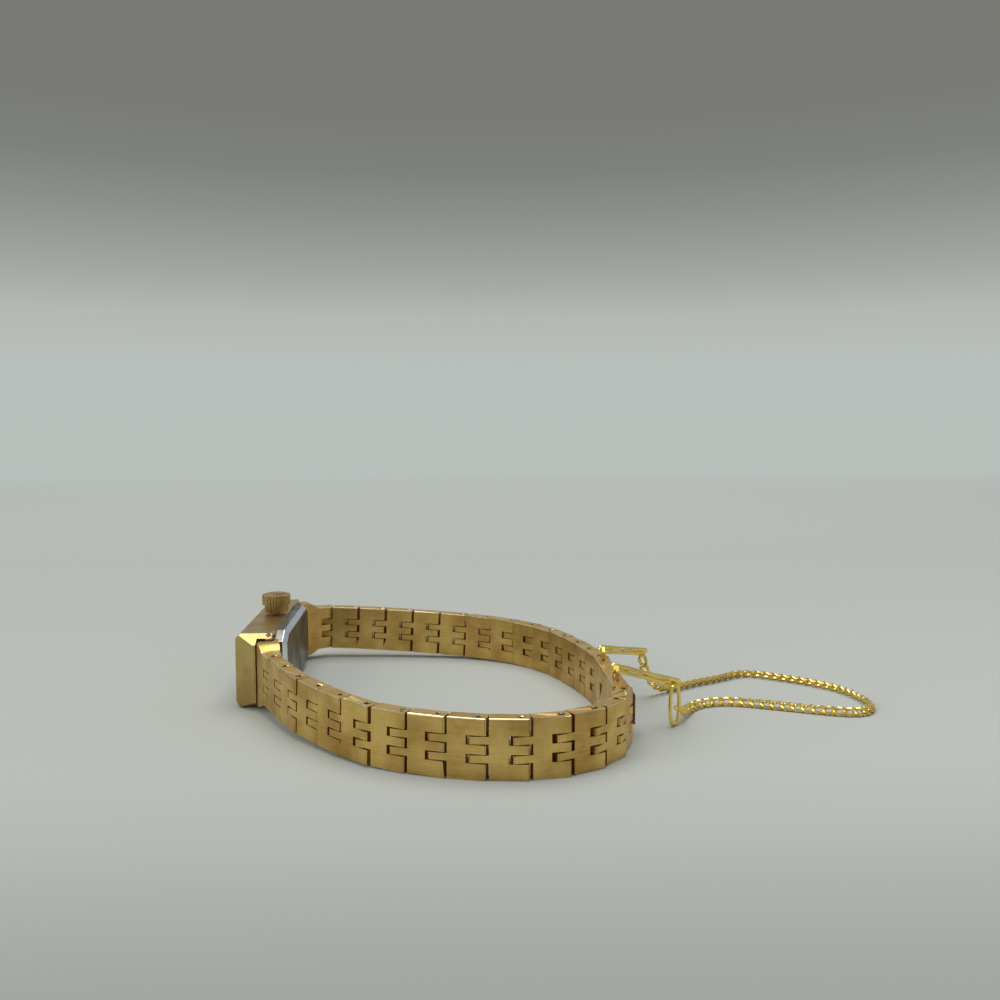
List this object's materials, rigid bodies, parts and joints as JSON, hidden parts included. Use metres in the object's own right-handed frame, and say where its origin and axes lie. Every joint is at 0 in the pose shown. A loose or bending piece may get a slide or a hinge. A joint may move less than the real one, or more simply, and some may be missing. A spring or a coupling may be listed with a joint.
{
  "type": "rectangular wristwatch",
  "caption": "Small rectangular wristwatch with bevelled case, crown, brick-link bracelet, box clasp and twisted safety chain, clasped and standing on its edge.",
  "frame": {"origin": "centre of the outer face of the case back", "axes": "+X out of the case back into the bracelet loop, +Y towards 12 o'clock, +Z towards 3 o'clock and the crown, which is up"},
  "size_m": [0.0836, 0.0587, 0.0128],
  "materials": {
    "gold_band": "brushed worn gold plating",
    "gold_case": "satin worn gold plating",
    "gold_chain": "bright gold plating",
    "steel_back": "worn satin with a bright rim",
    "steel_parts": "polished",
    "movement_plates": "satin",
    "movement_brass": "polished",
    "crystal": "clear",
    "dial": "cream satin",
    "hands": "dark gloss"
  },
  "bodies": {
    "case": {"mid_case": "gold_case", "case_back": "steel_back", "crystal": "crystal", "dial": "dial", "spring_bars": "steel_parts", "main_plate": "movement_plates", "barrel_bridge": "movement_plates", "train_bridge": "movement_plates", "balance_cock": "movement_plates", "movement_screws": "steel_parts"},
    "setting_lever": {"setting_lever": "steel_parts"},
    "crown": {"winding_stem": "steel_parts", "crown": "gold_case"},
    "barrel": {"barrel": "movement_brass"},
    "ratchet_wheel": {"ratchet_wheel": "steel_parts"},
    "crown_wheel": {"crown_wheel": "steel_parts"},
    "centre_wheel": {"centre_wheel": "movement_brass"},
    "third_wheel": {"third_wheel": "movement_brass"},
    "fourth_wheel": {"fourth_wheel": "movement_brass"},
    "escape_wheel": {"escape_wheel": "movement_brass"},
    "pallet_fork": {"pallet_fork": "steel_parts"},
    "balance": {"balance": "movement_brass"},
    "minute_wheel": {"minute_wheel": "movement_brass"},
    "hour_hand": {"hour_hand": "hands"},
    "minute_hand": {"minute_hand": "hands"},
    "end_link_12": {"end_link_12": "gold_band"},
    "link_12_01": {"link_12_01": "gold_band"},
    "link_12_02": {"link_12_02": "gold_band"},
    "link_12_03": {"link_12_03": "gold_band"},
    "link_12_04": {"link_12_04": "gold_band"},
    "link_12_05": {"link_12_05": "gold_band"},
    "link_12_06": {"link_12_06": "gold_band"},
    "link_12_07": {"link_12_07": "gold_band"},
    "link_12_08": {"link_12_08": "gold_band"},
    "link_12_09": {"link_12_09": "gold_band"},
    "link_12_10": {"link_12_10": "gold_band"},
    "link_12_11": {"link_12_11": "gold_band"},
    "link_12_12": {"link_12_12": "gold_band"},
    "link_12_13": {"link_12_13": "gold_band"},
    "clasp_box": {"clasp_box": "gold_band"},
    "end_link_6": {"end_link_6": "gold_band"},
    "link_6_01": {"link_6_01": "gold_band"},
    "link_6_02": {"link_6_02": "gold_band"},
    "link_6_03": {"link_6_03": "gold_band"},
    "link_6_04": {"link_6_04": "gold_band"},
    "link_6_05": {"link_6_05": "gold_band"},
    "link_6_06": {"link_6_06": "gold_band"},
    "link_6_07": {"link_6_07": "gold_band"},
    "link_6_08": {"link_6_08": "gold_band"},
    "link_6_09": {"link_6_09": "gold_band"},
    "link_6_10": {"link_6_10": "gold_band"},
    "link_6_11": {"link_6_11": "gold_band"},
    "link_6_12": {"link_6_12": "gold_band"},
    "link_6_13": {"link_6_13": "gold_band"},
    "clasp_tongue": {"clasp_tongue": "gold_band"},
    "wire_link_6": {"wire_link_6": "gold_chain"},
    "chain_1": {"chain_1": "gold_chain"},
    "chain_2": {"chain_2": "gold_chain"},
    "chain_3": {"chain_3": "gold_chain"},
    "wire_link_12": {"wire_link_12": "gold_chain"}
  },
  "joints": [
    {"name": "crown_pull", "type": "slide", "parent": "case", "child": "setting_lever", "axis": [0, 0, 1], "range_m": [0, 0.0006]},
    {"name": "crown_turn", "type": "hinge", "parent": "setting_lever", "child": "crown", "pos_m": [-0.00325, 0.0012, 0.0049], "axis": [0, 0, 1], "continuous": true},
    {"name": "crown_wheel_turn", "type": "hinge", "parent": "case", "child": "crown_wheel", "pos_m": [-0.0009, 0.0007, 0], "axis": [-1, 0, 0], "continuous": true},
    {"name": "ratchet_turn", "type": "hinge", "parent": "case", "child": "ratchet_wheel", "pos_m": [-0.0009, 0.00325, 0], "axis": [-1, 0, 0], "continuous": true},
    {"name": "fourth_wheel_turn", "type": "hinge", "parent": "case", "child": "fourth_wheel", "pos_m": [-0.0019, -0.00258, -0.0002], "axis": [-1, 0, 0], "continuous": true},
    {"name": "third_wheel_turn", "type": "hinge", "parent": "case", "child": "third_wheel", "pos_m": [-0.0016, -0.00188, 0.00131], "axis": [-1, 0, 0], "continuous": true},
    {"name": "centre_wheel_turn", "type": "hinge", "parent": "case", "child": "centre_wheel", "pos_m": [-0.0022, 0, 0], "axis": [-1, 0, 0], "continuous": true},
    {"name": "barrel_turn", "type": "hinge", "parent": "case", "child": "barrel", "pos_m": [-0.0019, 0.00325, 0], "axis": [-1, 0, 0], "continuous": true},
    {"name": "escape_wheel_turn", "type": "hinge", "parent": "case", "child": "escape_wheel", "pos_m": [-0.0017, -0.00309, -0.00161], "axis": [-1, 0, 0], "continuous": true},
    {"name": "pallet_fork_rock", "type": "hinge", "parent": "case", "child": "pallet_fork", "pos_m": [-0.0021, -0.0042, -0.00113], "axis": [-1, 0, 0], "range_deg": [-5, 5]},
    {"name": "balance_swing", "type": "hinge", "parent": "case", "child": "balance", "pos_m": [-0.002, -0.00682, 0], "axis": [-1, 0, 0], "range_deg": [-220, 220]},
    {"name": "minute_hand_turn", "type": "hinge", "parent": "case", "child": "minute_hand", "pos_m": [-0.0051, 0, 0], "axis": [-1, 0, 0], "continuous": true},
    {"name": "hour_hand_turn", "type": "hinge", "parent": "case", "child": "hour_hand", "pos_m": [-0.00485, 0, 0], "axis": [-1, 0, 0], "continuous": true},
    {"name": "minute_wheel_turn", "type": "hinge", "parent": "case", "child": "minute_wheel", "pos_m": [-0.00385, -0.00241, 0], "axis": [-1, 0, 0], "continuous": true},
    {"name": "bracelet_open", "type": "hinge", "parent": "case", "child": "end_link_12", "pos_m": [-0.0021, 0.0127, 0], "axis": [0, 0, 1], "range_deg": [0, 6]},
    {"name": "link_12_01_turn", "type": "hinge", "parent": "end_link_12", "child": "link_12_01", "pos_m": [0.0023, 0.01562, -0.00008], "axis": [0.014, 0.0058, 0.9999], "range_deg": [0, 0.68]},
    {"name": "link_12_02_turn", "type": "hinge", "parent": "link_12_01", "child": "link_12_02", "pos_m": [0.00663, 0.01528, -0.00022], "axis": [0.033, -0.0027, 0.9995], "range_deg": [0, 0.03]},
    {"name": "link_12_03_turn", "type": "hinge", "parent": "link_12_02", "child": "link_12_03", "pos_m": [0.01096, 0.01485, -0.00042], "axis": [0.0439, -0.0043, 0.999], "range_deg": [0, 0.04]},
    {"name": "link_12_04_turn", "type": "hinge", "parent": "link_12_03", "child": "link_12_04", "pos_m": [0.01527, 0.01431, -0.00064], "axis": [0.0511, -0.0064, 0.9987], "range_deg": [0, 0.07]},
    {"name": "link_12_05_turn", "type": "hinge", "parent": "link_12_04", "child": "link_12_05", "pos_m": [0.01955, 0.01359, -0.00088], "axis": [0.0544, -0.0092, 0.9985], "range_deg": [0, 0.08]},
    {"name": "link_12_06_turn", "type": "hinge", "parent": "link_12_05", "child": "link_12_06", "pos_m": [0.02379, 0.01264, -0.00112], "axis": [0.0538, -0.012, 0.9985], "range_deg": [0, 0.2]},
    {"name": "link_12_07_turn", "type": "hinge", "parent": "link_12_06", "child": "link_12_07", "pos_m": [0.02786, 0.01112, -0.00133], "axis": [0.0448, -0.0168, 0.9989], "range_deg": [0, 0.3]},
    {"name": "link_12_08_turn", "type": "hinge", "parent": "link_12_07", "child": "link_12_08", "pos_m": [0.03152, 0.00878, -0.00147], "axis": [0.0279, -0.0178, 0.9995], "range_deg": [0, 0.38]},
    {"name": "link_12_09_turn", "type": "hinge", "parent": "link_12_08", "child": "link_12_09", "pos_m": [0.03457, 0.00567, -0.00155], "axis": [0.0129, -0.0131, 0.9998], "range_deg": [0, 0.38]},
    {"name": "link_12_10_turn", "type": "hinge", "parent": "link_12_09", "child": "link_12_10", "pos_m": [0.03684, 0.00196, -0.0016], "axis": [0.0058, -0.0094, 0.9999], "range_deg": [0, 0.29]},
    {"name": "link_12_11_turn", "type": "hinge", "parent": "link_12_10", "child": "link_12_11", "pos_m": [0.03843, -0.00209, -0.0016], "axis": [0, 0, 1], "range_deg": [0, 0.15]},
    {"name": "link_12_12_turn", "type": "hinge", "parent": "link_12_11", "child": "link_12_12", "pos_m": [0.03966, -0.00626, -0.0016], "axis": [0, 0, 1], "range_deg": [0, 0.12]},
    {"name": "link_12_13_turn", "type": "hinge", "parent": "link_12_12", "child": "link_12_13", "pos_m": [0.0406, -0.01051, -0.0016], "axis": [0, 0, 1], "range_deg": [0, 0.09]},
    {"name": "clasp_box_turn", "type": "hinge", "parent": "link_12_13", "child": "clasp_box", "pos_m": [0.04132, -0.0148, -0.0016], "axis": [0, 0, 1], "range_deg": [0, 0.29]},
    {"name": "end_link_6_turn", "type": "hinge", "parent": "case", "child": "end_link_6", "pos_m": [-0.0021, -0.0127, 0], "axis": [0, 0, 1], "range_deg": [-0.64, 0]},
    {"name": "link_6_01_turn", "type": "hinge", "parent": "end_link_6", "child": "link_6_01", "pos_m": [-0.0007, -0.01779, -0.00016], "axis": [0.0136, -0.0271, 0.9995], "range_deg": [-0.11, 0]},
    {"name": "link_6_02_turn", "type": "hinge", "parent": "link_6_01", "child": "link_6_02", "pos_m": [0.00132, -0.02163, -0.00045], "axis": [0.0307, -0.0586, 0.9978], "range_deg": [-0.32, 0]},
    {"name": "link_6_03_turn", "type": "hinge", "parent": "link_6_02", "child": "link_6_03", "pos_m": [0.00353, -0.02537, -0.00075], "axis": [0.0356, -0.0601, 0.9976], "range_deg": [-0.84, 0]},
    {"name": "link_6_04_turn", "type": "hinge", "parent": "link_6_03", "child": "link_6_04", "pos_m": [0.00624, -0.02876, -0.00102], "axis": [0.0391, -0.0488, 0.998], "range_deg": [-0.16, 0]},
    {"name": "link_6_05_turn", "type": "hinge", "parent": "link_6_04", "child": "link_6_05", "pos_m": [0.00904, -0.03208, -0.00123], "axis": [0.0308, -0.0366, 0.9989], "range_deg": [-0.58, 0]},
    {"name": "link_6_06_turn", "type": "hinge", "parent": "link_6_05", "child": "link_6_06", "pos_m": [0.01215, -0.03512, -0.00141], "axis": [0.0289, -0.0283, 0.9992], "range_deg": [-1.47, 0]},
    {"name": "link_6_07_turn", "type": "hinge", "parent": "link_6_06", "child": "link_6_07", "pos_m": [0.0159, -0.03732, -0.00152], "axis": [0.0222, -0.013, 0.9997], "range_deg": [-0.84, 0]},
    {"name": "link_6_08_turn", "type": "hinge", "parent": "link_6_07", "child": "link_6_08", "pos_m": [0.01992, -0.03897, -0.00157], "axis": [0.0102, -0.0042, 0.9999], "range_deg": [-1.16, 0]},
    {"name": "link_6_09_turn", "type": "hinge", "parent": "link_6_08", "child": "link_6_09", "pos_m": [0.0241, -0.0402, -0.0016], "axis": [0.0071, -0.0021, 1], "range_deg": [-1.94, 0]},
    {"name": "link_6_10_turn", "type": "hinge", "parent": "link_6_09", "child": "link_6_10", "pos_m": [0.02842, -0.04069, -0.0016], "axis": [0, 0, 1], "range_deg": [-2.9, 0]},
    {"name": "link_6_11_turn", "type": "hinge", "parent": "link_6_10", "child": "link_6_11", "pos_m": [0.03272, -0.04004, -0.0016], "axis": [0, 0, 1], "range_deg": [-3.68, 0]},
    {"name": "link_6_12_turn", "type": "hinge", "parent": "link_6_11", "child": "link_6_12", "pos_m": [0.03658, -0.03802, -0.0016], "axis": [0, 0, 1], "range_deg": [-0.58, 0]},
    {"name": "link_6_13_turn", "type": "hinge", "parent": "link_6_12", "child": "link_6_13", "pos_m": [0.03951, -0.03481, -0.0016], "axis": [0, 0, 1], "range_deg": [-3.87, 0]},
    {"name": "clasp_tongue_turn", "type": "hinge", "parent": "link_6_13", "child": "clasp_tongue", "pos_m": [0.04118, -0.0308, -0.0016], "axis": [0, 0, 1], "range_deg": [-4.26, 0]},
    {"name": "wire_link_6_turn", "type": "hinge", "parent": "clasp_tongue", "child": "wire_link_6", "pos_m": [0.04122, -0.0264, 0.00318], "axis": [0, 0, 1], "range_deg": [0, 34.43]},
    {"name": "chain_1_turn", "type": "hinge", "parent": "wire_link_6", "child": "chain_1", "pos_m": [0.04886, -0.02456, 0.00033], "axis": [0, 0, 1], "range_deg": [0, 6.44]},
    {"name": "chain_2_turn", "type": "hinge", "parent": "chain_1", "child": "chain_2", "pos_m": [0.07037, -0.02193, -0.00434], "axis": [0, 0, 1], "range_deg": [-21.38, 0]},
    {"name": "chain_3_turn", "type": "hinge", "parent": "chain_2", "child": "chain_3", "pos_m": [0.06808, -0.00417, -0.00434], "axis": [0, 0, 1], "range_deg": [-13.52, 0]},
    {"name": "wire_link_12_turn", "type": "hinge", "parent": "chain_3", "child": "wire_link_12", "pos_m": [0.04754, -0.01243, 0.00129], "axis": [0, 0, 1], "range_deg": [0, 52.49]}
  ],
  "couplings": [
    {"joint": "crown_wheel_turn", "follows": "crown_turn", "ratio": 1},
    {"joint": "ratchet_turn", "follows": "crown_turn", "ratio": -0.75},
    {"joint": "third_wheel_turn", "follows": "fourth_wheel_turn", "ratio": -0.23704},
    {"joint": "centre_wheel_turn", "follows": "fourth_wheel_turn", "ratio": 0.04133},
    {"joint": "barrel_turn", "follows": "fourth_wheel_turn", "ratio": -0.007514},
    {"joint": "escape_wheel_turn", "follows": "fourth_wheel_turn", "ratio": -4},
    {"joint": "hour_hand_turn", "follows": "minute_hand_turn", "ratio": 0.083333},
    {"joint": "minute_wheel_turn", "follows": "minute_hand_turn", "ratio": -0.33333},
    {"joint": "link_12_01_turn", "follows": "bracelet_open", "ratio": 0.11193},
    {"joint": "link_12_02_turn", "follows": "bracelet_open", "ratio": 0.004146},
    {"joint": "link_12_03_turn", "follows": "bracelet_open", "ratio": 0.006218},
    {"joint": "link_12_04_turn", "follows": "bracelet_open", "ratio": 0.010364},
    {"joint": "link_12_05_turn", "follows": "bracelet_open", "ratio": 0.012437},
    {"joint": "link_12_06_turn", "follows": "bracelet_open", "ratio": 0.033164},
    {"joint": "link_12_07_turn", "follows": "bracelet_open", "ratio": 0.049746},
    {"joint": "link_12_08_turn", "follows": "bracelet_open", "ratio": 0.062333},
    {"joint": "link_12_09_turn", "follows": "bracelet_open", "ratio": 0.062333},
    {"joint": "link_12_10_turn", "follows": "bracelet_open", "ratio": 0.047948},
    {"joint": "link_12_11_turn", "follows": "bracelet_open", "ratio": 0.023974},
    {"joint": "link_12_12_turn", "follows": "bracelet_open", "ratio": 0.019179},
    {"joint": "link_12_13_turn", "follows": "bracelet_open", "ratio": 0.014385},
    {"joint": "clasp_box_turn", "follows": "bracelet_open", "ratio": 0.047948},
    {"joint": "end_link_6_turn", "follows": "bracelet_open", "ratio": -0.106},
    {"joint": "link_6_01_turn", "follows": "bracelet_open", "ratio": -0.017481},
    {"joint": "link_6_02_turn", "follows": "bracelet_open", "ratio": -0.052443},
    {"joint": "link_6_03_turn", "follows": "bracelet_open", "ratio": -0.13985},
    {"joint": "link_6_04_turn", "follows": "bracelet_open", "ratio": -0.026222},
    {"joint": "link_6_05_turn", "follows": "bracelet_open", "ratio": -0.096146},
    {"joint": "link_6_06_turn", "follows": "bracelet_open", "ratio": -0.24474},
    {"joint": "link_6_07_turn", "follows": "bracelet_open", "ratio": -0.13985},
    {"joint": "link_6_08_turn", "follows": "bracelet_open", "ratio": -0.19329},
    {"joint": "link_6_09_turn", "follows": "bracelet_open", "ratio": -0.32215},
    {"joint": "link_6_10_turn", "follows": "bracelet_open", "ratio": -0.48323},
    {"joint": "link_6_11_turn", "follows": "bracelet_open", "ratio": -0.61209},
    {"joint": "link_6_12_turn", "follows": "bracelet_open", "ratio": -0.095897},
    {"joint": "link_6_13_turn", "follows": "bracelet_open", "ratio": -0.64431},
    {"joint": "clasp_tongue_turn", "follows": "bracelet_open", "ratio": -0.70874},
    {"joint": "wire_link_6_turn", "follows": "bracelet_open", "ratio": 5.738},
    {"joint": "chain_1_turn", "follows": "bracelet_open", "ratio": 1.0733},
    {"joint": "chain_2_turn", "follows": "bracelet_open", "ratio": -3.5626},
    {"joint": "chain_3_turn", "follows": "bracelet_open", "ratio": -2.2532},
    {"joint": "wire_link_12_turn", "follows": "bracelet_open", "ratio": 8.7469}
  ]
}
